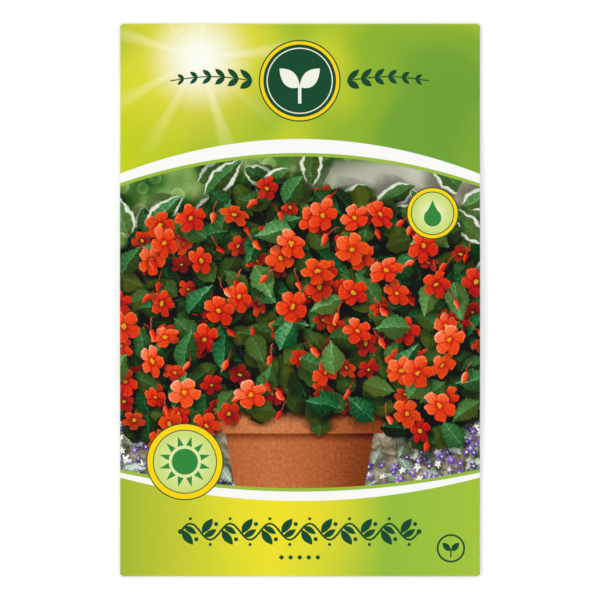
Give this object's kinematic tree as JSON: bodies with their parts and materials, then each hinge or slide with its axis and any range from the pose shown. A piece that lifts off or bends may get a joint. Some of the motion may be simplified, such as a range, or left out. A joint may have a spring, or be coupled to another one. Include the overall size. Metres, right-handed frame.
{
  "type": "seed packet",
  "caption": "Flat sealed paper flower-seed packet with a glued side seam and folded end flaps, holding a foil sachet of pelleted seeds.",
  "frame": {"origin": "middle of the packet, on the surface that it lies on", "axes": "+X across the printed front to the right, +Y up the print, +Z out of the printed front"},
  "size_m": [0.095, 0.146, 0.0035],
  "materials": {
    "printed_paper": "coated, semi-gloss print outside, bare white inside",
    "dried_glue": "thin dried dispersion adhesive",
    "foil_laminate": "satin foil laminate, crimped heat seals",
    "pellet_coating": "matt clay coating"
  },
  "bodies": {
    "root": {"packet_sheet": "printed_paper", "side_seam_glue": "dried_glue", "bottom_flap_glue": "dried_glue", "top_flap_glue": "dried_glue", "sachet_back_film": "foil_laminate", "sachet_front_film": "foil_laminate", "seed_pellet_01": "pellet_coating", "seed_pellet_02": "pellet_coating", "seed_pellet_03": "pellet_coating", "seed_pellet_04": "pellet_coating", "seed_pellet_05": "pellet_coating", "seed_pellet_06": "pellet_coating", "seed_pellet_07": "pellet_coating", "seed_pellet_08": "pellet_coating", "seed_pellet_09": "pellet_coating", "seed_pellet_10": "pellet_coating", "seed_pellet_11": "pellet_coating", "seed_pellet_12": "pellet_coating"}
  },
  "joints": []
}
